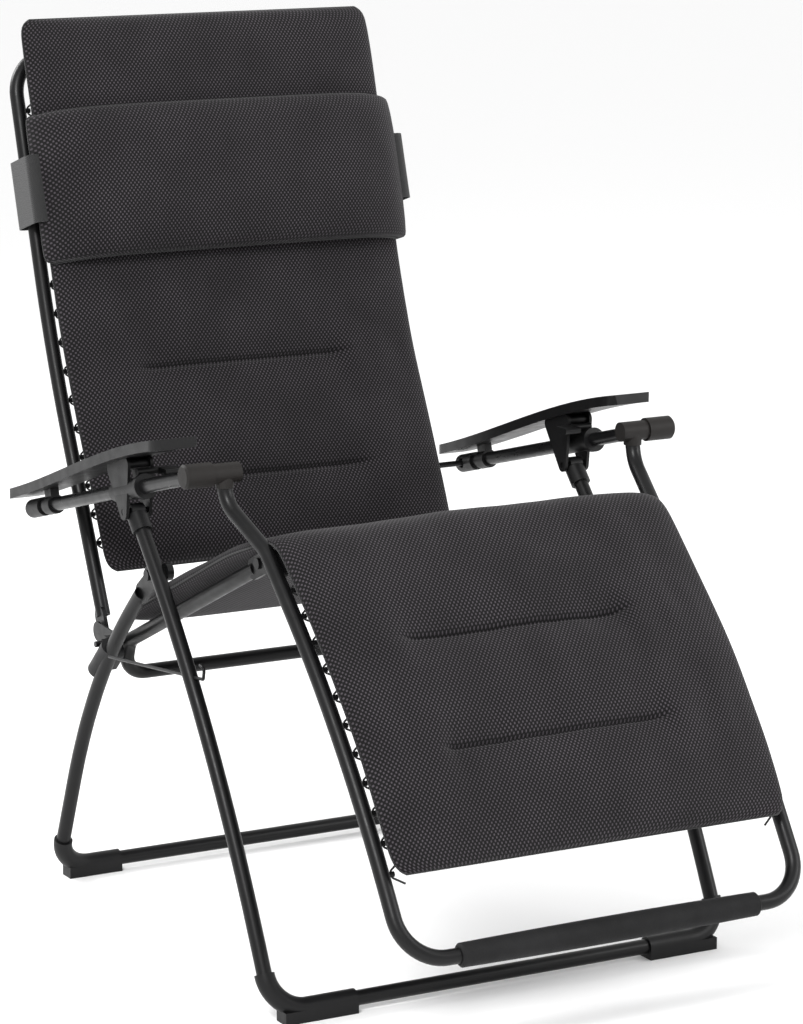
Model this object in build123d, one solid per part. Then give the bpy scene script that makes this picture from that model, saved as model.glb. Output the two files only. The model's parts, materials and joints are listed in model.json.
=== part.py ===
"""Zero gravity recliner: tubular folding lounge chair with laced cushions.

Millimetres, +Z up, +Y to the rear, floor at Z = 0, symmetric about X = 0.
The side view of every frame is given as (Y, Z) points of its tube centre line.
"""
import math
import os

from build123d import *

# ---------------------------------------------------------------- tube sizes
TUBE_OD = 19.0
TUBE_WALL = 1.5
ARM_OD = 18.0
ARM_WALL = 1.5
TUBE_R = TUBE_OD / 2
ARM_R = ARM_OD / 2

# ------------------------------------------- half widths, centre line to X = 0
FRONT_LEG_X = 320.0
REAR_LEG_X = 298.0
LEGREST_X = 275.0
LEGREST_TOP_X = 291.0
BACK_X = 265.0
SEAT_X = 254.5
ARM_X = 326.0

# ------------------------------- shift that centres the finished chair on Y = 0
ORIGIN_Y = -0.75

# --------------------------------------------------------- pivots, (Y, Z)
LEG_PIVOT = (55.0, 482.0)
SEAT_PIVOT = (231.0, 355.0)
BACK_PIVOT = (281.0, 359.0)
KNEE_PIVOT = (-167.0, 535.0)
ARM_FRONT_PIVOT = (-125.0, 641.0)
ARM_REAR_PIVOT = (356.0, 516.0)
BRACKET_PIVOT = (66.0, 563.0)

# ------------------------------------------------------- frame side views
FOOT_PAD_THICK = 6.0
FLOOR_BAR_Z = TUBE_R + FOOT_PAD_THICK
FRONT_LEG_SIDE = [(60.0, 555.0), (-141.0, 335.0), (-299.6, FLOOR_BAR_Z)]
FRONT_LEG_BOW_R = 1900.0
REAR_LEG_SIDE = [(99.0, 449.0), (252.0, 306.0), (375.6, FLOOR_BAR_Z)]
REAR_LEG_BOW_R = 800.0
FLOOR_BEND_R = 46.0
LEGREST_SIDE = [(-126.0, 606.0), (-203.0, 558.0), (-395.0, 380.0), (-548.0, 140.0)]
LEGREST_BOW_R = 1500.0
BACK_SIDE = [(284.0, 367.0), (440.0, 705.0), (556.0, 1090.0)]
BACK_BOW_R = 1600.0
CORNER_BEND_R = 55.0
SEAT_DROP = (249.0, 306.0)
SEAT_BEND_R = 30.0

# ------------------------------------------------------------ joints and fits
RUNNING_GAP = 0.05
SLIDE_GAP = 0.05
BODY_GAP = 0.5
PIN_R = 4.0
PIN_HEAD_R = 7.0
PIN_HEAD_LEN = 3.0
OPEN_PIVOT_PLAY = 6.0
PLATE = 3.0
FLAT_THICK = 5.0
FLAT_WIDTH = 27.0

# --------------------------------------------------------------- fittings
CAP_R = 15.0
CAP_LEN = 38.0
CAP_INNER_X = 309.5
TEE_R = 12.5
TEE_INNER_X = 272.0
REAR_CAP_R = 12.5
GRIP_R = 14.5
GRIP_BULGE = 1.5
GRIP_HALF = 206.0
STAY_R = 2.0
SHOE_R = 12.5
SHOE_HALF_GAP_FRONT = 209.0
SHOE_HALF_GAP_REAR = 209.0

# --------------------------------------------------------------- soft parts
BACK_PAD_HALF = 261.0
SEAT_PAD_HALF = 246.0
LEGREST_PAD_HALF = 272.0
PAD_LIFT = 12.5
PAD_THICK = 36.0
PAD_GAP = 0.5
HEADREST_HALF = 283.0
HEADREST_Z = 910.0
HEADREST_TALL = 200.0
HEADREST_THICK = 46.0
STRAP_HALF = 284.0
STRAP_TALL = 90.0
CORD_R = 1.3
LACE_HALF_PITCH = 14.0
LACE_INSET = 26.0
LACE_RISE = 2.0
CLIP_R = 3.4
CLIP_REACH = 6.0


# ================================================================ vector help
def at(x, side):
    """Point in space from a half width and a (Y, Z) side-view point."""
    return Vector(x, side[0], side[1])


def bent_path(points, radii):
    """Wire through the points, with an arc of the given radius at each inner point."""
    edges = []
    last = points[0]
    for here, following, radius in zip(points[1:-1], points[2:], radii):
        into = (here - last).normalized()
        out = (following - here).normalized()
        turn = math.radians(into.get_angle(out))
        reach = radius * math.tan(turn / 2)
        start = here - into * reach
        end = here + out * reach
        if (start - last).length > 0.01:
            edges.append(Edge.make_line(last, start))
        edges.append(Edge.make_tangent_arc(start, into, end))
        last = end
    edges.append(Edge.make_line(last, points[-1]))
    return Wire(edges)


def swept(path, outer, inner=0.0):
    """Round bar or tube along a path."""
    start = path.position_at(0)
    plane = Plane(origin=start, z_dir=path.tangent_at(0))
    section = Circle(outer)
    if inner:
        section -= Circle(inner)
    return sweep(plane * section, path=path)


def mirrored(points):
    """Half path, given from the +X end, carried on through its mirror image."""
    return points + [Vector(-p.X, p.Y, p.Z) for p in reversed(points)]


def u_path(x, side, bows, bend):
    """U path: down one side view, across, and back up the other side."""
    half = [at(x, p) for p in side]
    radii = list(bows) + [bend]
    return bent_path(mirrored(half), radii + list(reversed(radii)))


def rod(start, end, radius, bore=0.0):
    """Straight round bar between two points, bored through when bore is given."""
    line = end - start
    plane = Plane(origin=start, z_dir=line)
    section = Circle(radius)
    if bore:
        section -= Circle(bore)
    return extrude(plane * section, amount=line.length)


def cross_rod(side, x0, x1, radius, bore=0.0):
    """Round bar along X at a side-view point."""
    return rod(at(x0, side), at(x1, side), radius, bore)


def side_plate(x0, x1, sketch_points, corner):
    """Flat plate across X whose outline is the rounded hull of (Y, Z) points."""
    outline = make_hull([e for p in sketch_points for e in (Pos(p[0], p[1]) * Circle(corner)).edges()])
    return extrude(Plane(origin=(x0, 0, 0), x_dir=(0, 1, 0), z_dir=(1, 0, 0)) * outline, amount=x1 - x0)


def both(shape):
    """The +X shape and its mirror image, as one group."""
    return Compound([shape, shape.mirror(Plane.YZ)])


def along(a, b, share):
    """Point at a share of the way between two side-view points."""
    return (a[0] + (b[0] - a[0]) * share, a[1] + (b[1] - a[1]) * share)


def unit(a, b):
    """Side-view unit vector from a to b."""
    length = math.dist(a, b)
    return ((b[0] - a[0]) / length, (b[1] - a[1]) / length)


def off(p, direction, distance):
    """Side-view point moved along a direction."""
    return (p[0] + direction[0] * distance, p[1] + direction[1] * distance)


ARM_DIR = unit(ARM_REAR_PIVOT, ARM_FRONT_PIVOT)
ARM_UP = (ARM_DIR[1], -ARM_DIR[0])


def arm_point(ahead, up=0.0):
    """Side-view point by its distance ahead of the rear arm pivot and above the arm tube."""
    return off(off(ARM_REAR_PIVOT, ARM_DIR, ahead), ARM_UP, up)


ARM_LENGTH = math.dist(ARM_REAR_PIVOT, ARM_FRONT_PIVOT)
BRACKET_AHEAD = sum((t - a) * d for t, a, d in zip(BRACKET_PIVOT, ARM_REAR_PIVOT, ARM_DIR))


# ================================================================= leg frames
def front_leg_path():
    return u_path(FRONT_LEG_X, FRONT_LEG_SIDE, [FRONT_LEG_BOW_R], FLOOR_BEND_R)


def front_leg_frame():
    hole = rod(stay_rear(), stay_front(), STAY_R + BODY_GAP)
    tube = swept(front_leg_path(), TUBE_R, TUBE_R - TUBE_WALL)
    return tube - hole - hole.mirror(Plane.YZ)


def rear_leg_path():
    return u_path(REAR_LEG_X, REAR_LEG_SIDE, [REAR_LEG_BOW_R], FLOOR_BEND_R)


def flat_end(x, tube_end, pivot):
    """Flattened tube end, as a slab round the pivot with its pin hole."""
    slab = side_plate(x - FLAT_THICK / 2, x + FLAT_THICK / 2, [tube_end, pivot], FLAT_WIDTH / 2)
    hole = cross_rod(pivot, x - FLAT_THICK, x + FLAT_THICK, PIN_R + RUNNING_GAP)
    return slab - hole


def rear_leg_frame():
    tube = swept(rear_leg_path(), TUBE_R, TUBE_R - TUBE_WALL)
    flat = flat_end(REAR_LEG_X, REAR_LEG_SIDE[0], LEG_PIVOT)
    return tube + flat + flat.mirror(Plane.YZ)


def foot(half_gap, leg_x, bar_side, leg_next):
    """Moulded shoe round the floor bar and the start of its bend, with a flat sole."""
    bar = at(half_gap, bar_side)
    corner = at(leg_x, bar_side)
    rise = (at(leg_x, leg_next) - corner).normalized()
    path = bent_path([bar, corner, corner + rise * (FLOOR_BEND_R + 1)], [FLOOR_BEND_R])
    shell = swept(path, SHOE_R)
    core = swept(path, TUBE_R)
    sole_len = leg_x - half_gap - 12
    sole = Pos(half_gap + sole_len / 2, bar_side[0], FLOOR_BAR_Z / 2) * Box(sole_len, 2 * SHOE_R, FLOOR_BAR_Z)
    below = Pos(0, 0, -500) * Box(2000, 2000, 1000)
    return shell + sole - core - below


def front_foot():
    return foot(SHOE_HALF_GAP_FRONT, FRONT_LEG_X, FRONT_LEG_SIDE[-1], FRONT_LEG_SIDE[-2])


def rear_foot():
    return foot(SHOE_HALF_GAP_REAR, REAR_LEG_X, REAR_LEG_SIDE[-1], REAR_LEG_SIDE[-2])


def leg_pivot_lug():
    """Welded plate behind the front leg that carries the rear leg's pivot."""
    near = along(FRONT_LEG_SIDE[0], FRONT_LEG_SIDE[1], 0.27)
    x0 = REAR_LEG_X + FLAT_THICK / 2 + 3 * BODY_GAP
    plate = side_plate(x0, x0 + 8, [near, LEG_PIVOT], 11)
    hole = cross_rod(LEG_PIVOT, x0 - 1, x0 + 9, PIN_R)
    return plate - hole - swept(front_leg_path(), TUBE_R)


def leg_pivot_pin():
    x0 = REAR_LEG_X - FLAT_THICK / 2 - BODY_GAP
    x1 = REAR_LEG_X + FLAT_THICK / 2 + 3 * BODY_GAP + 8
    shank = cross_rod(LEG_PIVOT, x0 - PIN_HEAD_LEN, x1, PIN_R)
    inner_head = cross_rod(LEG_PIVOT, x0 - PIN_HEAD_LEN, x0, PIN_HEAD_R)
    outer_head = cross_rod(LEG_PIVOT, x1, x1 + PIN_HEAD_LEN, PIN_HEAD_R)
    return shank + inner_head + outer_head


# ====================================================== top of the front leg
SOCKET_R = 13.0


def leg_socket():
    """Moulded plug on the leg's top end, with the eye for the bracket pin."""
    down = unit(FRONT_LEG_SIDE[0], FRONT_LEG_SIDE[1])
    low = at(FRONT_LEG_X, off(FRONT_LEG_SIDE[0], down, 20))
    top = at(FRONT_LEG_X, off(FRONT_LEG_SIDE[0], down, -4))
    barrel = rod(low, top, SOCKET_R)
    eye = cross_rod(BRACKET_PIVOT, FRONT_LEG_X - 9, FRONT_LEG_X + 9, 10)
    hole = cross_rod(BRACKET_PIVOT, FRONT_LEG_X - 20, FRONT_LEG_X + 20, PIN_R)
    return barrel + eye - hole - rod(low, at(FRONT_LEG_X, FRONT_LEG_SIDE[0]), TUBE_R)


def bracket_pin():
    shank = cross_rod(BRACKET_PIVOT, FRONT_LEG_X - 16.5, FRONT_LEG_X + 17.5, PIN_R)
    return shank


# ======================================================================= seat
def seat_path():
    side = [KNEE_PIVOT, SEAT_PIVOT, SEAT_DROP]
    front = along(KNEE_PIVOT, SEAT_PIVOT, 0.07)
    return u_path(SEAT_X, [front, SEAT_PIVOT, SEAT_DROP], [SEAT_BEND_R], SEAT_BEND_R)


def seat_frame():
    tube = swept(seat_path(), TUBE_R, TUBE_R - TUBE_WALL)
    flat = flat_end(SEAT_X + 4, along(KNEE_PIVOT, SEAT_PIVOT, 0.07), KNEE_PIVOT)
    slot = cross_rod(KNEE_PIVOT, SEAT_X - 12, SEAT_X + 12, PIN_R + RUNNING_GAP)
    frame = tube + flat + flat.mirror(Plane.YZ)
    return frame - slot - slot.mirror(Plane.YZ)


LINK_X = BACK_X + TUBE_R + BODY_GAP


def back_link():
    """Plate on the seat frame's rear corner that carries the back's pivot."""
    plate = side_plate(LINK_X, LINK_X + PLATE, [SEAT_PIVOT, BACK_PIVOT], 13)
    seat_hole = cross_rod(SEAT_PIVOT, LINK_X - 1, LINK_X + 5, PIN_R)
    back_hole = cross_rod(BACK_PIVOT, LINK_X - 1, LINK_X + 5, PIN_R + RUNNING_GAP)
    return plate - seat_hole - back_hole


def seat_pivot_pin():
    """Pin from the seat corner through the link plate into the knuckle's hook."""
    x0 = SEAT_X + TUBE_R - 4
    shank = cross_rod(SEAT_PIVOT, x0, REAR_LEG_X + 6, PIN_R)
    collar = cross_rod(SEAT_PIVOT, LINK_X - 8, LINK_X, 8)
    return shank + collar - swept(seat_path(), TUBE_R)


def rear_dir():
    """Direction down the rear leg, where the knuckle holds it."""
    return unit(REAR_LEG_SIDE[0], REAR_LEG_SIDE[1])


def knuckle_centre():
    down = rear_dir()
    reach = (SEAT_PIVOT[0] - REAR_LEG_SIDE[0][0]) * down[0] + (SEAT_PIVOT[1] - REAR_LEG_SIDE[0][1]) * down[1]
    return off(REAR_LEG_SIDE[0], down, reach)


def knuckle():
    """Moulding clamped round the rear leg, with an open hook under the seat pin."""
    down = rear_dir()
    up_rear = (-down[1], down[0])
    centre = knuckle_centre()
    x_in = LINK_X + PLATE + BODY_GAP
    sleeve = rod(at(REAR_LEG_X, off(centre, down, -30)), at(REAR_LEG_X, off(centre, down, 30)), TUBE_R + 3.5)
    hook = side_plate(x_in, x_in + 12, [off(centre, down, -14), off(centre, down, 14), SEAT_PIVOT], 10)
    mouth = side_plate(x_in - 1, x_in + 40, [SEAT_PIVOT, off(SEAT_PIVOT, up_rear, 40)], PIN_R + BODY_GAP)
    return sleeve + hook - mouth - swept(rear_leg_path(), TUBE_R)


def stay_rear():
    return at(REAR_LEG_X + TUBE_R + 3.7, (172.0, 352.0))


def stay_front():
    leg = along(FRONT_LEG_SIDE[0], FRONT_LEG_SIDE[1], 0.78)
    return at(FRONT_LEG_X, off(leg, (-1, 0.15), 24))


def spreader_rod():
    """Wire stay from the knuckle, through the front leg, to its stop loop in front."""
    front = stay_front()
    loop = [stay_rear(), front, front + Vector(0, -3, 14), front + Vector(0, 9, 16)]
    return swept(bent_path(loop, [3.0, 5.0]), STAY_R)


# ======================================================================= back
def back_path():
    start = along(BACK_SIDE[0], BACK_SIDE[1], 0.03)
    return u_path(BACK_X, [start] + BACK_SIDE[1:], [BACK_BOW_R], CORNER_BEND_R)


def back_frame():
    tube = swept(back_path(), TUBE_R, TUBE_R - TUBE_WALL)
    start = along(BACK_SIDE[0], BACK_SIDE[1], 0.03)
    flat = flat_end(BACK_X + 4, start, BACK_PIVOT)
    bore = cross_rod(BACK_PIVOT, BACK_X - 12, BACK_X + 12, PIN_R)
    frame = tube + flat + flat.mirror(Plane.YZ)
    return frame - bore - bore.mirror(Plane.YZ)


def back_pivot_pin():
    x0 = BACK_X + 4 - FLAT_THICK / 2
    head = cross_rod(BACK_PIVOT, x0 - PIN_HEAD_LEN, x0, PIN_HEAD_R)
    shank = cross_rod(BACK_PIVOT, x0, LINK_X + PLATE, PIN_R)
    return head + shank - swept(back_path(), TUBE_R)


def arm_rear_pin():
    """Pin from the back tube out to the arm's rear cap."""
    return cross_rod(ARM_REAR_PIVOT, BACK_X, ARM_X - 2, PIN_R) - swept(back_path(), TUBE_R)


# ===================================================================== legrest
def legrest_path():
    top = Vector(LEGREST_TOP_X, ARM_FRONT_PIVOT[0], ARM_FRONT_PIVOT[1] - TEE_R + 4)
    neck = at(LEGREST_TOP_X, LEGREST_SIDE[0])
    half = [top, neck] + [at(LEGREST_X, p) for p in LEGREST_SIDE[1:]]
    radii = [40.0, 60.0, LEGREST_BOW_R, CORNER_BEND_R]
    return bent_path(mirrored(half), radii + list(reversed(radii)))


def legrest_frame():
    return swept(legrest_path(), TUBE_R, TUBE_R - TUBE_WALL)


def legrest_tee():
    """Moulded tee on the legrest's top end, with the stub that the arm turns on."""
    barrel = cross_rod(ARM_FRONT_PIVOT, TEE_INNER_X, CAP_INNER_X - BODY_GAP, TEE_R)
    neck = rod(
        at(LEGREST_TOP_X, ARM_FRONT_PIVOT),
        Vector(LEGREST_TOP_X, ARM_FRONT_PIVOT[0], ARM_FRONT_PIVOT[1] - TEE_R - 5),
        TUBE_R + 2,
    )
    stub = cross_rod(ARM_FRONT_PIVOT, CAP_INNER_X - 2, CAP_INNER_X + CAP_LEN - 8, PIN_R)
    return barrel + neck + stub - swept(legrest_path(), TUBE_R)


def knee_lug():
    """Plate inside the legrest tube that carries the knee pivot."""
    x0 = SEAT_X + 4 + FLAT_THICK / 2 + BODY_GAP
    near = along(LEGREST_SIDE[1], LEGREST_SIDE[2], 0.05)
    plate = side_plate(x0, x0 + 6, [near, off(near, (-0.73, -0.68), 16), KNEE_PIVOT], 11)
    hole = cross_rod(KNEE_PIVOT, x0 - 1, x0 + 8, PIN_R)
    return plate - hole - swept(legrest_path(), TUBE_R)


def knee_pin():
    x0 = SEAT_X + 4 - FLAT_THICK / 2 - BODY_GAP
    x1 = SEAT_X + 4 + FLAT_THICK / 2 + BODY_GAP + 6
    shank = cross_rod(KNEE_PIVOT, x0 - PIN_HEAD_LEN, x1, PIN_R)
    inner_head = cross_rod(KNEE_PIVOT, x0 - PIN_HEAD_LEN, x0, PIN_HEAD_R)
    outer_head = cross_rod(KNEE_PIVOT, x1, x1 + PIN_HEAD_LEN, PIN_HEAD_R)
    return shank + inner_head + outer_head


def foot_grip():
    """Foam sleeve on the legrest's lower bar, slightly fuller in the middle."""
    bar = LEGREST_SIDE[-1]
    with BuildSketch(Plane.XY) as profile:
        with BuildLine():
            Polyline((-GRIP_HALF, TUBE_R), (-GRIP_HALF, GRIP_R - 3))
            Line((-GRIP_HALF, GRIP_R - 3), (-GRIP_HALF + 3, GRIP_R))
            ThreePointArc((-GRIP_HALF + 3, GRIP_R), (0, GRIP_R + GRIP_BULGE), (GRIP_HALF - 3, GRIP_R))
            Line((GRIP_HALF - 3, GRIP_R), (GRIP_HALF, GRIP_R - 3))
            Polyline((GRIP_HALF, GRIP_R - 3), (GRIP_HALF, TUBE_R), (-GRIP_HALF, TUBE_R))
        make_face()
    sleeve = revolve(profile.sketch, axis=Axis.X)
    return Pos(0, bar[0], bar[1]) * sleeve


# ======================================================================== arms
def arm_tube():
    start = at(ARM_X, arm_point(0))
    end = at(ARM_X, arm_point(ARM_LENGTH - 3))
    tube = rod(start, end, ARM_R, ARM_R - ARM_WALL)
    cap_room = cross_rod(ARM_FRONT_PIVOT, CAP_INNER_X, CAP_INNER_X + CAP_LEN, CAP_R - 4)
    rear_room = cross_rod(ARM_REAR_PIVOT, ARM_X - 40, ARM_X + 40, PIN_R + OPEN_PIVOT_PLAY / 2)
    return tube - cap_room - rear_room


def arm_front_cap():
    """Moulded cylinder on the arm tube's front end, turning beside the legrest tee."""
    x1 = CAP_INNER_X + CAP_LEN
    body = cross_rod(ARM_FRONT_PIVOT, CAP_INNER_X, x1, CAP_R)
    body = chamfer(body.faces().sort_by(Axis.X)[-1].edges(), 2.5)
    room = cross_rod(ARM_FRONT_PIVOT, CAP_INNER_X - 1, x1 - 6, PIN_R + OPEN_PIVOT_PLAY)
    tube = rod(at(ARM_X, arm_point(ARM_LENGTH - 40)), at(ARM_X, arm_point(ARM_LENGTH - 2)), ARM_R)
    return body - room - tube


def arm_rear_cap():
    """Moulded cap on the arm tube's rear end, with the eye for the back's pin."""
    body = rod(at(ARM_X, arm_point(-14)), at(ARM_X, arm_point(26)), REAR_CAP_R)
    tube = rod(at(ARM_X, arm_point(-6)), at(ARM_X, arm_point(27)), ARM_R)
    room = cross_rod(ARM_REAR_PIVOT, ARM_X - 20, ARM_X + 4, PIN_R + OPEN_PIVOT_PLAY / 2)
    return body - tube - room


# ============================================================ armrest brackets
LEVER_HUB_R = 4.5
LEVER_AHEAD = 38.0
LEVER_UP = 19.0
BRACKET_TOP = 30.0
BRACKET_HALF = 18.0


def arm_bracket():
    """Clamp that the arm tube slides through, with its two ears down to the leg."""
    c = BRACKET_AHEAD
    barrel = rod(at(ARM_X, arm_point(c - 34)), at(ARM_X, arm_point(c + 44)), 13)
    flange = rod(at(ARM_X, arm_point(c + 44)), at(ARM_X, arm_point(c + 52)), 16)
    rear_top = arm_point(c - 22, BRACKET_TOP)
    front_top = arm_point(c + 22, BRACKET_TOP)
    x0 = FRONT_LEG_X - BRACKET_HALF
    x1 = FRONT_LEG_X + BRACKET_HALF
    ear_in = side_plate(x0, x0 + 4, [rear_top, front_top, BRACKET_PIVOT], 9)
    ear_out = side_plate(x1 - 4, x1, [rear_top, front_top, BRACKET_PIVOT], 10)
    top = side_plate(x0, x1, [rear_top, front_top, arm_point(c, BRACKET_TOP + 5)], 5)
    bore = rod(at(ARM_X, arm_point(c - 60)), at(ARM_X, arm_point(c + 80)), ARM_R + SLIDE_GAP)
    pin_hole = cross_rod(BRACKET_PIVOT, FRONT_LEG_X - 20, FRONT_LEG_X + 20, PIN_R + RUNNING_GAP)
    leg_top = along(FRONT_LEG_SIDE[0], FRONT_LEG_SIDE[1], 0.2)
    socket_room = rod(at(FRONT_LEG_X, BRACKET_PIVOT), at(FRONT_LEG_X, leg_top), SOCKET_R + BODY_GAP)
    lever = arm_point(c + LEVER_AHEAD, LEVER_UP)
    lever_room = cross_rod(lever, ARM_X - 50, ARM_X + 6, LEVER_HUB_R + BODY_GAP)
    body = barrel + flange + ear_out + ear_in + top
    return body - bore - pin_hole - socket_room - lever_room - armrest()


def armrest_profile():
    """Side-view spine of the armrest's underside, front to rear."""
    c = BRACKET_AHEAD
    return [arm_point(c + 158, 37), arm_point(c + 60, 39), arm_point(c - 120, 29), arm_point(c - 336, 17)]


def armrest():
    """Long curved paddle of constant thickness, round at both ends."""
    front, mid, rear, tail = armrest_profile()
    with BuildSketch(Plane(origin=(ARM_X - 35, 0, 0), x_dir=(0, 1, 0), z_dir=(1, 0, 0))) as side:
        with BuildLine():
            low = Spline(front, mid, rear, tail)
            high = Spline(*[off(p, ARM_UP, 13) for p in (tail, rear, mid, front)])
            Line(low @ 1, high @ 0)
            Line(high @ 1, low @ 0)
        make_face()
    blank = extrude(side.sketch, amount=70)
    length = math.dist(front, tail)
    plan_centre = along(front, tail, 0.5)
    outline = make_hull(
        (Pos(0, -(length / 2 - 31)) * Circle(31)).edges() + (Pos(0, length / 2 - 24) * Circle(24)).edges())
    plan = extrude(Pos(ARM_X, plan_centre[0], 300) * outline, amount=600)
    return blank & plan


def arm_clip():
    """Rear clip under the armrest that the arm tube slides through."""
    ring = rod(at(ARM_X, arm_point(40)), at(ARM_X, arm_point(62)), 12.5)
    corners = [arm_point(46, 8), arm_point(56, 8), arm_point(46, 21), arm_point(56, 21)]
    web = side_plate(ARM_X - 6, ARM_X + 6, corners, 5)
    bore = rod(at(ARM_X, arm_point(30)), at(ARM_X, arm_point(80)), ARM_R + SLIDE_GAP)
    return ring + web - bore - armrest()


def lock_lever():
    """Cam lever under the armrest's front that locks the arm tube."""
    c = BRACKET_AHEAD
    axis_a = arm_point(c + LEVER_AHEAD, LEVER_UP)
    hub = cross_rod(axis_a, ARM_X - 26, ARM_X + 4, LEVER_HUB_R)
    wing = side_plate(ARM_X - 48, ARM_X - 25, [axis_a, arm_point(c + 58, 14)], 4)
    return hub + wing


# ==================================================================== cushions
def pad_block(half, side, lift, thick):
    """Closed cushion solid that follows a side-view line at a lift above it."""
    lows = []
    highs = []
    for before, here, after in zip([side[0]] + side[:-1], side, side[1:] + [side[-1]]):
        way = unit(before, after)
        normal = (way[1], -way[0])
        lows.append(off(here, normal, lift))
        highs.append(off(here, normal, lift + thick))
    with BuildSketch(Plane(origin=(-half, 0, 0), x_dir=(0, 1, 0), z_dir=(1, 0, 0))) as sketch:
        with BuildLine():
            low = Spline(*lows)
            high = Spline(*reversed(highs))
            Line(low @ 1, high @ 0)
            Line(high @ 1, low @ 0)
        make_face()
    return extrude(sketch.sketch, amount=2 * half)


def back_point(z, ahead=0.0):
    """Side-view point on the back tube's centre line at a height."""
    low, knee, top = BACK_SIDE
    a, b = (low, knee) if z < knee[1] else (knee, top)
    return along(a, b, (z - a[1]) / (b[1] - a[1]))


def back_pad():
    side = [back_point(z) for z in (1130.0, 930.0, 700.0, 560.0, 424.0)]
    return pad_block(BACK_PAD_HALF, side, PAD_LIFT, PAD_THICK) - swept(back_path(), TUBE_R + PAD_GAP)


def seat_pad():
    side = [along(SEAT_PIVOT, KNEE_PIVOT, share) for share in (0.04, 0.5, 0.86)]
    return pad_block(SEAT_PAD_HALF, side, PAD_LIFT, PAD_THICK - 6)


def legrest_pad():
    side = [(-203.0, 556.0), (-300.0, 467.0), (-394.0, 366.0), (-452.0, 288.0), (-494.0, 222.0)]
    lug = knee_lug()
    return pad_block(LEGREST_PAD_HALF, side, PAD_LIFT, PAD_THICK - 10) - lug - mirror(lug, about=Plane.YZ)


def headrest_frame():
    """Plane across the back tubes at the headrest's middle, X across and Z up the back."""
    up = unit(BACK_SIDE[1], BACK_SIDE[2])
    origin = back_point(HEADREST_Z)
    return Plane(origin=(0, origin[0], origin[1]), x_dir=(1, 0, 0), z_dir=(0, up[0], up[1]))


def headrest_pillow():
    """Bolster in front of the back cushion."""
    rear = -(PAD_LIFT + PAD_THICK + 6)
    plan = Pos(0, rear - HEADREST_THICK / 2) * RectangleRounded(
        2 * HEADREST_HALF, HEADREST_THICK, HEADREST_THICK / 2 - 1)
    return extrude(headrest_frame() * plan, amount=HEADREST_TALL / 2, both=True)


def headrest_strap():
    """Elastic band from the pillow's ends round the back tubes."""
    front = -(PAD_LIFT + PAD_THICK + 4.5)
    rear = TUBE_R + 2 * CORD_R + 6
    middle = (front + rear) / 2
    band = RectangleRounded(2 * STRAP_HALF, rear - front, 12)
    band -= RectangleRounded(2 * STRAP_HALF - 4, rear - front - 4, 10)
    return extrude(headrest_frame() * Pos(0, middle) * band, amount=STRAP_TALL / 2, both=True)


def lace_stations(path, first, last, count):
    """Centre, direction along the tube and inward normal at each lacing clip."""
    stations = []
    for i in range(count):
        reach = first + (last - first) * i / (count - 1)
        centre = path.position_at(reach, position_mode=PositionMode.LENGTH)
        way = path.tangent_at(reach, position_mode=PositionMode.LENGTH)
        stations.append((centre, way))
    return stations


def lacing(stations, up_side):
    """Elastic cord that zigzags between the clips on a tube and the cushion's underside."""
    points = []
    for centre, way in stations:
        up = Vector(1, 0, 0).cross(way) * up_side
        half = way * LACE_HALF_PITCH
        edge = centre - Vector(LACE_INSET, 0, 0) + up * LACE_RISE
        clip = centre - Vector(TUBE_R + CLIP_REACH / 2, 0, 0)
        points.extend([edge - half, clip - half * 0.3, clip + half * 0.3, edge + half])
    return swept(bent_path(points, [3.0] * (len(points) - 2)), CORD_R)


def lace_clips(path, stations, up_side):
    """Small plugs on the tube's inner side that hold the cord."""
    cord = lacing(stations, up_side)
    tube = swept(path, TUBE_R)
    clips = []
    for centre, way in stations:
        start = centre - Vector(TUBE_R - 1, 0, 0)
        end = centre - Vector(TUBE_R + CLIP_REACH, 0, 0)
        plug = rod(start, end, CLIP_R) - tube - cord
        clips.extend(plug.solids())
    return Compound(clips)


def back_stations():
    return lace_stations(back_path(), 97.4, 688, 16)


def seat_stations():
    return lace_stations(seat_path(), 50, 310, 8)


def legrest_stations():
    return lace_stations(legrest_path(), 176, 552.4, 11)


def back_lacing():
    return lacing(back_stations(), 1)


def seat_lacing():
    return lacing(seat_stations(), 1)


def legrest_lacing():
    return lacing(legrest_stations(), -1)


def back_lace_clips():
    return lace_clips(back_path(), back_stations(), 1)


def seat_lace_clips():
    return lace_clips(seat_path(), seat_stations(), 1)


def legrest_lace_clips():
    return lace_clips(legrest_path(), legrest_stations(), -1)


PARTS = {
    "front_leg_frame": front_leg_frame,
    "rear_leg_frame": rear_leg_frame,
    "seat_frame": seat_frame,
    "back_frame": back_frame,
    "legrest_frame": legrest_frame,
    "foot_grip": foot_grip,
    "back_pad": back_pad,
    "seat_pad": seat_pad,
    "legrest_pad": legrest_pad,
    "headrest_pillow": headrest_pillow,
    "headrest_strap": headrest_strap,
}

GROUPS = {
    "leg_pivot_lugs": leg_pivot_lug,
    "leg_pivot_pins": leg_pivot_pin,
    "bracket_pins": bracket_pin,
    "back_links": back_link,
    "seat_pivot_pins": seat_pivot_pin,
    "back_pivot_pins": back_pivot_pin,
    "arm_rear_pins": arm_rear_pin,
    "knee_lugs": knee_lug,
    "knee_pins": knee_pin,
    "spreader_rods": spreader_rod,
    "back_lacing": back_lacing,
    "seat_lacing": seat_lacing,
    "legrest_lacing": legrest_lacing,
    "back_lace_clips": back_lace_clips,
    "seat_lace_clips": seat_lace_clips,
    "legrest_lace_clips": legrest_lace_clips,
}

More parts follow.
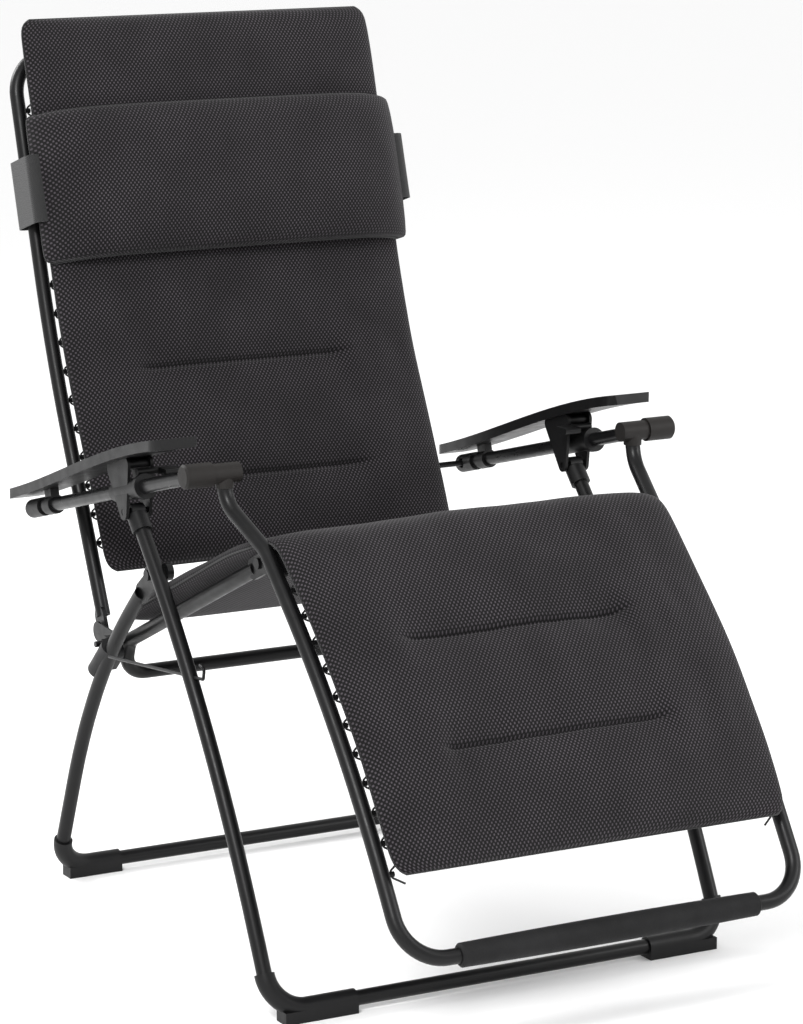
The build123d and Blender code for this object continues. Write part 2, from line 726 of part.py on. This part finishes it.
SIDES = {
    "front_foot": front_foot,
    "rear_foot": rear_foot,
    "leg_socket": leg_socket,
    "hinge_knuckle": knuckle,
    "legrest_tee": legrest_tee,
    "arm_tube": arm_tube,
    "arm_front_cap": arm_front_cap,
    "arm_rear_cap": arm_rear_cap,
    "arm_bracket": arm_bracket,
    "armrest": armrest,
    "arm_clip": arm_clip,
    "lock_lever": lock_lever,
}


def write(shape, name):
    """Export one node, moved so that the origin lies under the middle of the chair."""
    export_step(Pos(0, ORIGIN_Y, 0) * shape, f"parts/{name}.step")


def main():
    os.makedirs("parts", exist_ok=True)
    for name, make in PARTS.items():
        write(make(), name)
    for name, make in GROUPS.items():
        write(both(make()), name)
    for name, make in SIDES.items():
        left = make()
        write(left, f"{name}_left")
        write(left.mirror(Plane.YZ), f"{name}_right")


main()
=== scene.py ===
"""Looks of the zero gravity recliner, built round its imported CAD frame. Metres."""

import json
import math

import bmesh
import bpy
import numpy as np
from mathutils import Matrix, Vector, noise


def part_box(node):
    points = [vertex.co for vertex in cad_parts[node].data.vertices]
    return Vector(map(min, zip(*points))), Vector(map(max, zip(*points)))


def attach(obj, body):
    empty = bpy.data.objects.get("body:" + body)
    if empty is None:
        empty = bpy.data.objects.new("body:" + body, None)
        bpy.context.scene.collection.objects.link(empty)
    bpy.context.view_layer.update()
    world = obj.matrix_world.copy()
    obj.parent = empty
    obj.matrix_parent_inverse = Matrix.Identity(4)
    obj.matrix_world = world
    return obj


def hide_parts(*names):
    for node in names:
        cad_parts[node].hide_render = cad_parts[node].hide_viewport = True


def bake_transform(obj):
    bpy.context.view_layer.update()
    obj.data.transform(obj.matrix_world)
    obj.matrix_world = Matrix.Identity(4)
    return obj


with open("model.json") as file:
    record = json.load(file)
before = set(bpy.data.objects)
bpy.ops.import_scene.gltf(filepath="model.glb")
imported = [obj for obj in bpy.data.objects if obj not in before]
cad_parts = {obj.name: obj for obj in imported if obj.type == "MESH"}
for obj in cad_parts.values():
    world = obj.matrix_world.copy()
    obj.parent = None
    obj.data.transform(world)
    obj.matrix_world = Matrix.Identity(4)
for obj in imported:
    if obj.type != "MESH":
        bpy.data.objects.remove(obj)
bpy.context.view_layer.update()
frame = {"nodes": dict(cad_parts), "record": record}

# ------------------------------------------------------------------ weave
WEAVE_PITCH = 0.0027
WEAVE_HOLE_DEPTH = 0.0003

# ------------------------------------------------------- cushion resolution
CELL = 0.005
SEAM_CELL = 0.0006
LINE_POINTS = 200
SEAM_R = 0.0011
SEAM_SIDES = 6

# -------------------------------- edge of a cushion: powers of its rounded forms
SIDE_POWER = 8
WRAP_POWER = 7

# ---------------------------------------------------------- sewn channels
CHANNEL_DEPTH = 0.012
CHANNEL_WIDTH = 0.026
CHANNEL_END_SHARPNESS = 45
STITCH_DEPTH = 0.007
STITCH_WIDTH = 0.0035
PUCKER_WIDTH = 0.045
# Each channel: distance from the cushion's foot end, then the share of the half
# width where it starts and ends.
BACK_CHANNELS = [(0.107, -0.56, 0.52), (0.265, -0.61, 0.52)]
LEG_CHANNELS = [(0.138, -0.61, 0.49), (0.285, -0.61, 0.49)]

# ------------------ side-view chords (y, z) that set which way a cushion runs
BACK_CHORD = ((0.31, 0.43), (0.57, 1.14))
LEG_CHORD = ((-0.51, 0.20), (-0.20, 0.55))
SEAT_CHORD = ((-0.11, 0.51), (0.22, 0.36))
PILLOW_CHORD = ((0.394, 0.8590), (0.452, 1.051))

# -------------------------------------------------------------- the cushions
KNEE_SHARE = 0.58
KNEE_REACH = 0.12
KNEE_DIP = 0.012
PILLOW_INSET = 0.010
PILLOW_WRAP = 0.042

# ------------------------------------------------------------------- camera
CAMERA_PLACE = (-2.3373, -4.2582, 1.5386)
CAMERA_DOWN = math.radians(11.6)
CAMERA_TURN = math.radians(29.0)
CAMERA_LENS = 136.76


# ================================================================ materials
def grey(value, warmth=0.0):
    """A near-neutral colour, slightly brown when warmth is given."""
    return (value * (1 + warmth), value, value * (1.06 - warmth))


def new_material(name):
    """An empty material with one Principled shader."""
    mat = bpy.data.materials.new(name)
    mat.use_nodes = True
    tree = mat.node_tree
    tree.nodes.clear()
    out = tree.nodes.new("ShaderNodeOutputMaterial")
    shader = tree.nodes.new("ShaderNodeBsdfPrincipled")
    tree.links.new(shader.outputs[0], out.inputs[0])
    return mat, tree, shader


def object_coordinates(tree):
    """Places on the object in metres."""
    return tree.nodes.new("ShaderNodeTexCoord").outputs["Object"]


def noise_value(tree, vector, scale, detail=4.0):
    """Smooth noise between 0 and 1."""
    tex = tree.nodes.new("ShaderNodeTexNoise")
    tex.inputs["Scale"].default_value = scale
    tex.inputs["Detail"].default_value = detail
    tree.links.new(vector, tex.inputs["Vector"])
    return tex.outputs["Fac"]


def ramp(tree, value, low, high, a=0.3, b=0.7):
    """Colour that goes from low to high while the value goes from a to b."""
    node = tree.nodes.new("ShaderNodeValToRGB")
    node.color_ramp.elements[0].position = a
    node.color_ramp.elements[1].position = b
    node.color_ramp.elements[0].color = (*low, 1)
    node.color_ramp.elements[1].color = (*high, 1)
    tree.links.new(value, node.inputs[0])
    return node.outputs[0]


def bump(tree, shader, height, distance, strength=1.0, under=None):
    """Surface relief, laid over an earlier one when under is given."""
    node = tree.nodes.new("ShaderNodeBump")
    node.inputs["Distance"].default_value = distance
    node.inputs["Strength"].default_value = strength
    tree.links.new(height, node.inputs["Height"])
    if under:
        tree.links.new(under, node.inputs["Normal"])
    tree.links.new(node.outputs[0], shader.inputs["Normal"])
    return node.outputs[0]


def worn_surface(name, dark, light, warmth, rough, metallic, grain_scale, grain_depth):
    """Paint, plastic or metal with broken-up colour, varied gloss and a fine grain."""
    mat, tree, shader = new_material(name)
    where = object_coordinates(tree)
    blotch = noise_value(tree, where, 9.0)
    colour = ramp(tree, blotch, grey(dark, warmth), grey(light, warmth))
    tree.links.new(colour, shader.inputs["Base Color"])
    gloss = ramp(tree, noise_value(tree, where, 60.0), grey(rough - 0.05), grey(rough + 0.07))
    tree.links.new(gloss, shader.inputs["Roughness"])
    shader.inputs["Metallic"].default_value = metallic
    shader.inputs["Specular IOR Level"].default_value = 0.22
    bump(tree, shader, noise_value(tree, where, grain_scale, 2.0), grain_depth)
    return mat


def sine(tree, value, frequency):
    """Sine wave of a value."""
    scaled = tree.nodes.new("ShaderNodeMath")
    scaled.operation = "MULTIPLY"
    scaled.inputs[1].default_value = frequency
    tree.links.new(value, scaled.inputs[0])
    wave = tree.nodes.new("ShaderNodeMath")
    wave.operation = "SINE"
    tree.links.new(scaled.outputs[0], wave.inputs[0])
    return wave.outputs[0]


def raised(tree, value):
    """A wave moved from between -1 and 1 to between 0 and 1."""
    node = tree.nodes.new("ShaderNodeMath")
    node.operation = "MULTIPLY_ADD"
    node.inputs[1].default_value = 0.5
    node.inputs[2].default_value = 0.5
    tree.links.new(value, node.inputs[0])
    return node.outputs[0]


def product(tree, a, b):
    """Two values multiplied."""
    node = tree.nodes.new("ShaderNodeMath")
    node.operation = "MULTIPLY"
    tree.links.new(a, node.inputs[0])
    tree.links.new(b, node.inputs[1])
    return node.outputs[0]


def mesh_fabric():
    """Charcoal spacer mesh: a staggered lattice of open cells painted near black as shade inside the
    holes, with lighter yarn between.
    """
    mat, tree, shader = new_material("spacer_mesh")
    cloth = tree.nodes.new("ShaderNodeAttribute")
    cloth.attribute_name = "weave"
    split = tree.nodes.new("ShaderNodeSeparateXYZ")
    tree.links.new(cloth.outputs["Vector"], split.inputs[0])
    turn = math.pi / WEAVE_PITCH
    across = sine(tree, split.outputs["X"], turn)
    lengthways = sine(tree, split.outputs["Y"], turn * 0.8)
    yarn = raised(tree, product(tree, across, lengthways))
    where = object_coordinates(tree)
    # Lattice colour: the dark end is painted shade inside the open cells, and the light end is the yarn's
    # own charcoal grey.
    yarn_colour_and_hole_shade = ramp(tree, yarn, (0.0042, 0.0039, 0.0043), (0.058, 0.051, 0.058), 0.52, 0.92)
    blotch = ramp(tree, noise_value(tree, where, 14.0), (0.80,) * 3, (1.15,) * 3)
    mix = tree.nodes.new("ShaderNodeMix")
    mix.data_type = "RGBA"
    mix.blend_type = "MULTIPLY"
    mix.inputs["Factor"].default_value = 1.0
    tree.links.new(yarn_colour_and_hole_shade, mix.inputs["A"])
    tree.links.new(blotch, mix.inputs["B"])
    tree.links.new(mix.outputs["Result"], shader.inputs["Base Color"])
    shader.inputs["Roughness"].default_value = 0.86
    shader.inputs["Sheen Weight"].default_value = 0.06
    shader.inputs["Sheen Roughness"].default_value = 0.5
    shader.inputs["Specular IOR Level"].default_value = 0.15
    fuzz = bump(tree, shader, noise_value(tree, where, 900.0, 2.0), 0.0002, 0.5)
    bump(tree, shader, yarn, WEAVE_HOLE_DEPTH, 0.8, fuzz)
    return mat


def webbing(name, colour):
    """Flat woven tape or binding with fine ribs."""
    mat, tree, shader = new_material(name)
    where = object_coordinates(tree)
    split = tree.nodes.new("ShaderNodeSeparateXYZ")
    tree.links.new(where, split.inputs[0])
    ribs = product(tree, sine(tree, split.outputs["X"], 3400), sine(tree, split.outputs["Z"], 2600))
    fleck = noise_value(tree, where, 700.0, 2.0)
    tree.links.new(ramp(tree, fleck, colour, tuple(c * 1.9 for c in colour)), shader.inputs["Base Color"])
    shader.inputs["Roughness"].default_value = 0.8
    shader.inputs["Sheen Weight"].default_value = 0.15
    bump(tree, shader, ribs, 0.0004, 0.6)
    return mat


# slot: name, darkest and lightest grey, warmth, roughness, metallic, grain scale, grain depth
SURFACES = {
    "frame_paint": ("satin_black_tube", 0.0035, 0.005, 0.0, 0.36, 0.0, 1400, 0.00002),
    "arm_steel": ("satin_dark_steel", 0.006, 0.011, 0.0, 0.30, 0.2, 900, 0.00002),
    "bright_steel": ("blackened_steel", 0.012, 0.02, 0.0, 0.36, 0.7, 800, 0.00003),
    "stay_wire": ("blackened_wire", 0.008, 0.012, 0.0, 0.34, 0.6, 800, 0.00002),
    "black_plastic": ("grained_black_plastic", 0.004, 0.006, 0.0, 0.44, 0.0, 1100, 0.00008),
    "armrest_plastic": ("armrest_plastic", 0.0045, 0.0065, 0.0, 0.40, 0.0, 1300, 0.00006),
    "tee_plastic": ("brown_black_plastic", 0.008, 0.012, 0.14, 0.52, 0.0, 900, 0.00008),
    "knuckle_metal": ("dark_casting", 0.009, 0.014, 0.0, 0.45, 0.2, 500, 0.0002),
    "foam": ("closed_cell_foam", 0.004, 0.009, 0.0, 0.7, 0.0, 500, 0.0005),
}
MATERIALS = {slot: worn_surface(*values) for slot, values in SURFACES.items()}
MATERIALS["mesh_fabric"] = mesh_fabric()
MATERIALS["strap_fabric"] = webbing("elastic_webbing", grey(0.005))
MATERIALS["lace_cord"] = webbing("elastic_cord", grey(0.004))


def dress_nodes():
    """Give every CAD node the material of its slot."""
    slots = {s["node"]: s["material_slot"] for s in frame["record"]["subparts"]}
    for name, node in frame["nodes"].items():
        node.data.materials.clear()
        node.data.materials.append(MATERIALS[slots[name]])


# ============================================================ cushion spines
def spine(node, foot, head, bend, count=60):
    """Under and upper side-view lines of a CAD cushion, running from its foot end to its head end."""
    points = np.array([v.co for v in frame["nodes"][node].data.vertices])
    side = points[points[:, 0] > points[:, 0].max() - 0.03][:, 1:]
    side = np.unique(side.round(5), axis=0)
    chord = np.array(head) - np.array(foot)
    chord = chord / np.linalg.norm(chord)
    across = np.array([-chord[1], chord[0]])
    along = side @ chord
    height = side @ across
    upper = height > np.polyval(np.polyfit(along, height, bend), along)
    lines = []
    for chosen in (~upper, upper):
        order = np.argsort(along[chosen])
        s = along[chosen][order]
        h = height[chosen][order]
        places = np.linspace(s[0], s[-1], count)
        lines.append(np.outer(places, chord) + np.outer(np.interp(places, s, h), across))
    return lines


def straight_sides(node, foot, head):
    """Under and upper straight lines of a flat CAD cushion, from its foot end to its head end."""
    points = np.array([v.co for v in frame["nodes"][node].data.vertices])[:, 1:]
    chord = np.array(head) - np.array(foot)
    chord = chord / np.linalg.norm(chord)
    across = np.array([-chord[1], chord[0]])
    reach = np.linspace((points @ chord).min(), (points @ chord).max(), 40)
    heights = ((points @ across).min(), (points @ across).max())
    return [np.outer(reach, chord) + across * h for h in heights]


def resampled(line, count):
    """The same line with evenly spaced points."""
    steps = np.r_[0, np.cumsum(np.linalg.norm(np.diff(line, axis=0), axis=1))]
    even = np.linspace(0, steps[-1], count)
    return np.stack([np.interp(even, steps, line[:, i]) for i in range(2)], axis=1), steps[-1]


def smoothed(line, passes):
    """Average each inner point with its neighbours."""
    line = line.copy()
    for _ in range(passes):
        line[1:-1] = 0.25 * line[:-2] + 0.5 * line[1:-1] + 0.25 * line[2:]
    return line


# ============================================================= quilted pads
def channel_drop(u, s, channels):
    """How far sewn channels pull the face down at a place on the cushion."""
    drop = 0.0
    for at, u0, u1 in channels:
        starts = 1 / (1 + math.exp(-(u - u0) * CHANNEL_END_SHARPNESS))
        inside = starts / (1 + math.exp((u - u1) * CHANNEL_END_SHARPNESS))
        away = abs(s - at)
        drop += CHANNEL_DEPTH * inside * math.exp(-((away / CHANNEL_WIDTH) ** 1.3))
        drop += STITCH_DEPTH * inside * math.exp(-((away / STITCH_WIDTH) ** 2))
    return drop


def wrinkle(x, s, seed, channels):
    """Soft lumps of the filling, with finer puckers near each channel."""
    lump = noise.noise(Vector((x * 6 + seed, s * 7, seed))) * 0.0050
    crease = noise.noise(Vector((x * 22, s * 9 + seed, 3.1))) * 0.0012
    pucker = sum(math.exp(-(((s - at) / PUCKER_WIDTH) ** 2)) for at, _, _ in channels)
    return lump + crease + pucker * noise.noise(Vector((x * 38, s * 12, seed))) * 0.0022


def stations(length, channels):
    """Places along a cushion: even, with extra ones close to each sewn channel and the ends."""
    places = set(np.linspace(0, length, int(length / CELL) + 1).round(5))
    for at, _, _ in channels:
        places.update((at + np.linspace(-0.012, 0.012, 17)).round(5))
    for k in range(1, 8):
        places.add(round(SEAM_CELL * k * k, 5))
        places.add(round(length - SEAM_CELL * k * k, 5))
    kept = [0.0]
    for place in sorted(places):
        if place - kept[-1] > SEAM_CELL:
            kept.append(place)
    kept[-1] = length
    return kept


def edge_shape(t, power):
    """Height of a stuffed edge, 1 in the middle and 0 at the seam."""
    return max(0.0, 1 - abs(t) ** power) ** 0.5


def width_share(s, v, seed):
    """Share of the full width at a place: drawn in at the ends and slightly uneven."""
    drawn_in = 0.008 * abs(v) ** 12 + 0.05 * abs(v) ** 60
    return 1 - drawn_in + 0.004 * noise.noise(Vector((s * 9, seed, 0)))


def quilted_pad(name, low, high, half_width, channels, crown, seed, rise, ends, plump=None, wrap=0.0):
    """Stuffed cushion between two side-view lines, with round sewn edges and quilting channels."""
    low, _ = resampled(low, LINE_POINTS)
    high, length = resampled(high, LINE_POINTS)
    up = (high - low) / np.linalg.norm(high - low, axis=1)[:, None]
    low = low + up * rise[0]
    high = high + up * rise[1]
    even = np.linspace(0, length, LINE_POINTS)
    rows = stations(length, channels)
    across = int(2 * half_width / CELL)
    angles = [(i / across - 0.5) * math.pi * 0.98 for i in range(across + 1)]
    us = [math.sin(angle) / math.sin(0.49 * math.pi) for angle in angles]
    bm = bmesh.new()
    weave = bm.verts.layers.float_vector.new("weave")
    border = {}
    for face in (1, -1):
        grid = []
        for j, s in enumerate(rows):
            v = 2 * s / length - 1
            under = np.array([np.interp(s, even, low[:, k]) for k in (0, 1)])
            over = np.array([np.interp(s, even, high[:, k]) for k in (0, 1)])
            middle = (under + over) / 2
            thick = np.linalg.norm(over - under)
            out = (over - under) / thick
            end = edge_shape(v, ends)
            narrow = width_share(s, v, seed)
            row = []
            for i, u in enumerate(us):
                edge = edge_shape(u, SIDE_POWER) * end
                x = u * half_width * narrow
                height = thick / 2 * edge * face
                if face > 0:
                    height += crown * (1 - u * u) ** 0.8 * end
                    height += wrinkle(x, s, seed, channels) * edge
                    height -= channel_drop(u, s, channels) * edge
                    if plump is not None:
                        height += plump(s / length) * (1 - abs(u) ** 5) * end
                where = middle + out * (height - wrap * abs(u) ** WRAP_POWER)
                key = (i, j) if i in (0, across) or j in (0, len(rows) - 1) else None
                vert = border.get(key)
                if vert is None:
                    vert = bm.verts.new((x, where[0], where[1]))
                    vert[weave] = (u * half_width + face * SEAM_R, s, 0)
                    if key:
                        border[key] = vert
                row.append(vert)
            grid.append(row)
        for j in range(len(rows) - 1):
            for i in range(across):
                quad = [grid[j][i], grid[j][i + 1], grid[j + 1][i + 1], grid[j + 1][i]]
                bm.faces.new(quad if face > 0 else quad[::-1])
    add_edge_seam(bm, weave, border, across, len(rows))
    bmesh.ops.recalc_face_normals(bm, faces=bm.faces)
    mesh = bpy.data.meshes.new(name)
    bm.to_mesh(mesh)
    bm.free()
    for poly in mesh.polygons:
        poly.use_smooth = True
    pad = bpy.data.objects.new(name, mesh)
    bpy.context.collection.objects.link(pad)
    mesh.materials.append(MATERIALS["mesh_fabric"])
    mesh.materials.append(MATERIALS["strap_fabric"])
    return pad


def add_edge_seam(bm, weave, border, across, count):
    """Thin sewn ridge along the cushion's edge."""
    loop = [(i, 0) for i in range(across)] + [(across, j) for j in range(count - 1)]
    loop += [(i, count - 1) for i in range(across, 0, -1)] + [(0, j) for j in range(count - 1, 0, -1)]
    centres = [border[key].co.copy() for key in loop]
    rings = []
    total = len(centres)
    for k, centre in enumerate(centres):
        way = (centres[(k + 2) % total] - centres[k - 2]).normalized()
        side = way.cross(Vector((0, 0.3, 1))).normalized()
        top = side.cross(way)
        ring = []
        for step in range(SEAM_SIDES):
            angle = step * math.tau / SEAM_SIDES
            vert = bm.verts.new(centre + (side * math.cos(angle) + top * math.sin(angle)) * SEAM_R)
            vert[weave] = (centre.x, centre.z, 0)
            ring.append(vert)
        rings.append(ring)
    for k in range(total):
        a, b = rings[k], rings[(k + 1) % total]
        for step in range(SEAM_SIDES):
            after = (step + 1) % SEAM_SIDES
            face = bm.faces.new((a[step], a[after], b[after], b[step]))
            face.material_index = 1


def node_half_width(node):
    """Half of a CAD node's size across the chair."""
    low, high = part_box(node)
    return (high[0] - low[0]) / 2


def back_cushion():
    """Cushion laced into the back frame."""
    low, high = spine("back_pad", *BACK_CHORD, 4)
    pad = quilted_pad("back_cushion", low, high, node_half_width("back_pad"), BACK_CHANNELS,
                      crown=0.014, seed=1.7, rise=(-5e-3, 3e-3), ends=11)
    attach(pad, "back")
    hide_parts("back_pad")
    return pad


def knee_dip(share):
    """How far the cushion sinks where it bends over the knee."""
    return -KNEE_DIP * math.exp(-(((share - KNEE_SHARE) / KNEE_REACH) ** 2))


def leg_cushion():
    """One cushion over legrest and seat, which bends at the knee."""
    leg_low, leg_high = spine("legrest_pad", *LEG_CHORD, 4)
    seat_low, seat_high = spine("seat_pad", *SEAT_CHORD, 1)
    low = smoothed(resampled(np.vstack([leg_low, seat_low]), 120)[0], 12)
    high = smoothed(resampled(np.vstack([leg_high, seat_high]), 120)[0], 12)
    pad = quilted_pad("leg_cushion", low, high, node_half_width("legrest_pad"), LEG_CHANNELS,
                      crown=0.012, seed=4.2, rise=(-5e-3, 4e-3), ends=14, plump=knee_dip)
    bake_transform(pad)
    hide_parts("seat_pad", "legrest_pad")
    return pad


def pillow():
    """Headrest pillow, whose ends are pulled back round the frame tubes."""
    low, high = straight_sides("headrest_pillow", *PILLOW_CHORD)
    pad = quilted_pad("headrest_cushion", low, high, node_half_width("headrest_pillow") - PILLOW_INSET, [],
                      crown=0.010, seed=7.3, rise=(-3e-3, 5e-3), ends=3.2, wrap=PILLOW_WRAP)
    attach(pad, "headrest")
    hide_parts("headrest_pillow")
    return pad


# ==================================================================== studio
def area_light(name, place, target, size, power):
    """Rectangular lamp aimed at a target."""
    data = bpy.data.lights.new(name, "AREA")
    data.shape = "RECTANGLE"
    data.size, data.size_y = size
    data.energy = power
    lamp = bpy.data.objects.new(name, data)
    lamp.location = place
    lamp.rotation_euler = (Vector(target) - Vector(place)).to_track_quat("-Z", "Y").to_euler()
    bpy.context.collection.objects.link(lamp)
    return lamp


def studio():
    """Pale floor, white surroundings and three soft lamps."""
    bpy.ops.mesh.primitive_plane_add(size=40)
    floor = bpy.context.object
    floor.name = "floor"
    mat, _, shader = new_material("pale_floor")
    shader.inputs["Base Color"].default_value = (0.95, 0.95, 0.95, 1)
    shader.inputs["Roughness"].default_value = 0.9
    floor.data.materials.append(mat)
    world = bpy.data.worlds.new("studio")
    world.use_nodes = True
    surround = world.node_tree.nodes["Background"]
    surround.inputs["Color"].default_value = (1, 1, 1, 1)
    surround.inputs["Strength"].default_value = 1.0
    bpy.context.scene.world = world
    area_light("key", (-2.6, -2.6, 3.4), (0, 0, 0.5), (1.2, 1.2), 150)
    area_light("fill", (2.8, -2.4, 2.0), (0, 0, 0.5), (1.6, 1.6), 50)
    area_light("rim", (-1.5, 3.0, 2.6), (0, 0, 0.7), (1.5, 1.5), 90)


def camera():
    """Camera in front, to the sitter's right, looking slightly down."""
    data = bpy.data.cameras.new("camera")
    data.lens = CAMERA_LENS
    data.sensor_width = 36
    data.clip_end = 100
    cam = bpy.data.objects.new("camera", data)
    cam.location = CAMERA_PLACE
    cam.rotation_euler = (math.pi / 2 - CAMERA_DOWN, 0, -CAMERA_TURN)
    bpy.context.collection.objects.link(cam)
    bpy.context.scene.camera = cam
    bpy.context.scene.view_settings.view_transform = "Standard"


dress_nodes()
back_cushion()
leg_cushion()
pillow()
studio()
camera()
